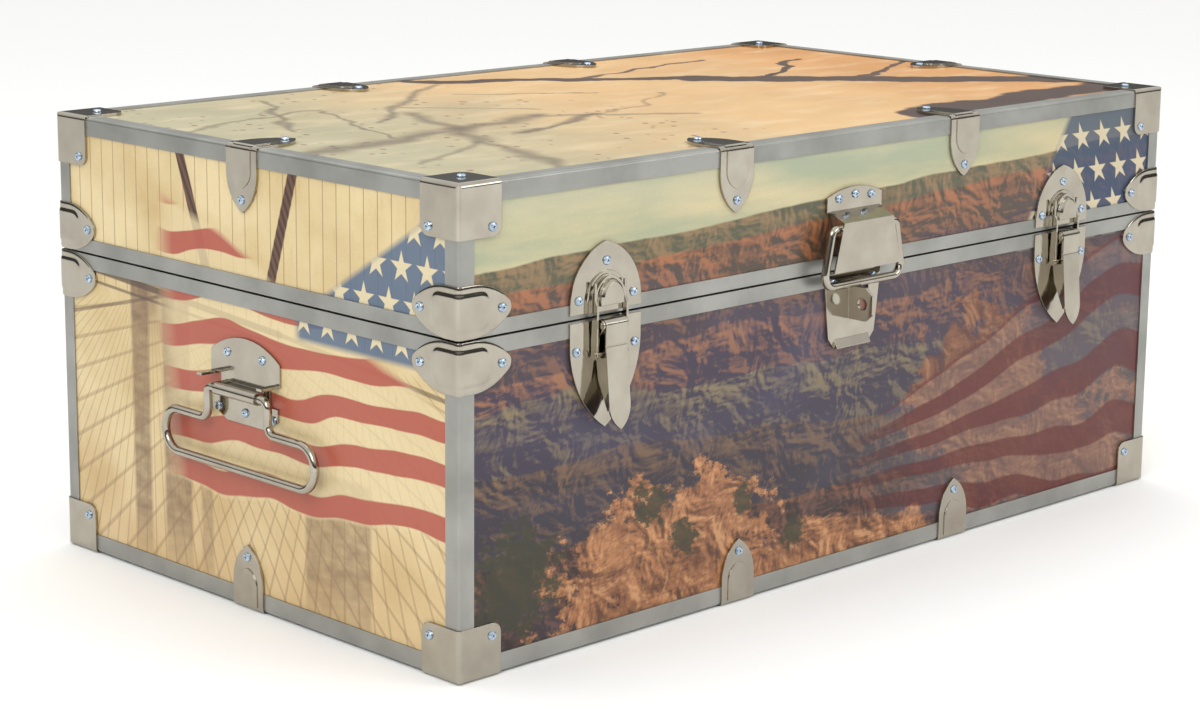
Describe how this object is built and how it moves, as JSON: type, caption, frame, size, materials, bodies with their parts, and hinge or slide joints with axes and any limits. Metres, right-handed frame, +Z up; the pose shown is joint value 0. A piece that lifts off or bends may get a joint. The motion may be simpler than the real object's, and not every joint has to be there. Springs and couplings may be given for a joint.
{
  "type": "footlocker",
  "caption": "Plywood footlocker with aluminium edging, plated corner hardware, draw latches, padlock hasp, drop handles, hinged lid and lift-out tray.",
  "frame": {"origin": "centre of the floor board's underside", "axes": "+Z up, +X along the width to the right as seen from the front, front with the latches towards -Y"},
  "size_m": [0.8436, 0.5068, 0.3533],
  "materials": {
    "printed_long_board": "satin printed laminate on plywood",
    "printed_end_board": "satin printed laminate on plywood",
    "printed_top_board": "satin printed laminate on plywood",
    "birch_plywood": "bare sanded plywood",
    "satin_aluminium": "satin anodised extrusion",
    "zinc_plated_screws": "bright blue zinc plate",
    "nickel_plated_steel": "bright nickel plate on stamped steel"
  },
  "bodies": {
    "base": {"base_floor": "birch_plywood", "base_front": "printed_long_board", "base_back": "printed_long_board", "base_left": "printed_end_board", "base_right": "printed_end_board", "base_bottom_edging": "satin_aluminium", "base_corner_edging": "satin_aluminium", "base_rim": "satin_aluminium", "base_corner_caps": "nickel_plated_steel", "base_rim_clamps": "nickel_plated_steel", "base_edge_clamps": "nickel_plated_steel", "base_screws": "zinc_plated_screws", "tray_ledges": "birch_plywood", "left_latch_base": "nickel_plated_steel", "right_latch_base": "nickel_plated_steel", "latch_pivot_pins": "nickel_plated_steel", "lock_plate": "nickel_plated_steel", "left_handle_plate": "nickel_plated_steel", "right_handle_plate": "nickel_plated_steel", "hinge_base_leaves": "nickel_plated_steel", "hinge_pins": "nickel_plated_steel"},
    "lid": {"lid_top": "printed_top_board", "lid_front": "printed_long_board", "lid_back": "printed_long_board", "lid_left": "printed_end_board", "lid_right": "printed_end_board", "lid_top_edging": "satin_aluminium", "lid_corner_edging": "satin_aluminium", "lid_rim": "satin_aluminium", "lid_corner_caps": "nickel_plated_steel", "lid_rim_clamps": "nickel_plated_steel", "lid_edge_clamps": "nickel_plated_steel", "lid_screws": "zinc_plated_screws", "left_keeper": "nickel_plated_steel", "right_keeper": "nickel_plated_steel", "hasp_plate": "nickel_plated_steel", "hinge_lid_leaves": "nickel_plated_steel"},
    "left_latch_lever": {"left_latch_lever": "nickel_plated_steel", "left_latch_link_pin": "nickel_plated_steel"},
    "left_latch_link": {"left_latch_link": "nickel_plated_steel"},
    "right_latch_lever": {"right_latch_lever": "nickel_plated_steel", "right_latch_link_pin": "nickel_plated_steel"},
    "right_latch_link": {"right_latch_link": "nickel_plated_steel"},
    "lock_loop": {"lock_loop": "nickel_plated_steel"},
    "left_handle_bail": {"left_handle_bail": "nickel_plated_steel"},
    "right_handle_bail": {"right_handle_bail": "nickel_plated_steel"},
    "tray": {"tray_bottom": "birch_plywood", "tray_front": "birch_plywood", "tray_back": "birch_plywood", "tray_left": "birch_plywood", "tray_right": "birch_plywood", "tray_divider": "birch_plywood"}
  },
  "joints": [
    {"name": "lid_hinge", "type": "hinge", "parent": "base", "child": "lid", "pos_m": [0, 0.2412, 0.2406], "axis": [-1, 0, 0], "range_deg": [0, 100]},
    {"name": "left_latch", "type": "hinge", "parent": "base", "child": "left_latch_lever", "pos_m": [-0.268, -0.244, 0.2358], "axis": [-1, 0, 0], "range_deg": [0, 120]},
    {"name": "left_latch_link_turn", "type": "hinge", "parent": "left_latch_lever", "child": "left_latch_link", "pos_m": [-0.268, -0.2414, 0.2143], "axis": [-1, 0, 0], "range_deg": [-135, 0]},
    {"name": "right_latch", "type": "hinge", "parent": "base", "child": "right_latch_lever", "pos_m": [0.268, -0.244, 0.2358], "axis": [-1, 0, 0], "range_deg": [0, 120]},
    {"name": "right_latch_link_turn", "type": "hinge", "parent": "right_latch_lever", "child": "right_latch_link", "pos_m": [0.268, -0.2414, 0.2143], "axis": [-1, 0, 0], "range_deg": [-135, 0]},
    {"name": "lock_loop_swing", "type": "hinge", "parent": "lid", "child": "lock_loop", "pos_m": [0, -0.2475, 0.2758], "axis": [-1, 0, 0], "range_deg": [0, 110]},
    {"name": "left_handle_swing", "type": "hinge", "parent": "base", "child": "left_handle_bail", "pos_m": [-0.414, 0, 0.165], "axis": [0, 1, 0], "range_deg": [0, 110]},
    {"name": "right_handle_swing", "type": "hinge", "parent": "base", "child": "right_handle_bail", "pos_m": [0.414, 0, 0.165], "axis": [0, -1, 0], "range_deg": [0, 110]},
    {"name": "tray_lift", "type": "slide", "parent": "base", "child": "tray", "axis": [0, 0, 1], "range_m": [0, 0.088]}
  ],
  "couplings": [
    {"joint": "left_latch_link_turn", "follows": "left_latch", "ratio": -1.12},
    {"joint": "right_latch_link_turn", "follows": "right_latch", "ratio": -1.12}
  ]
}
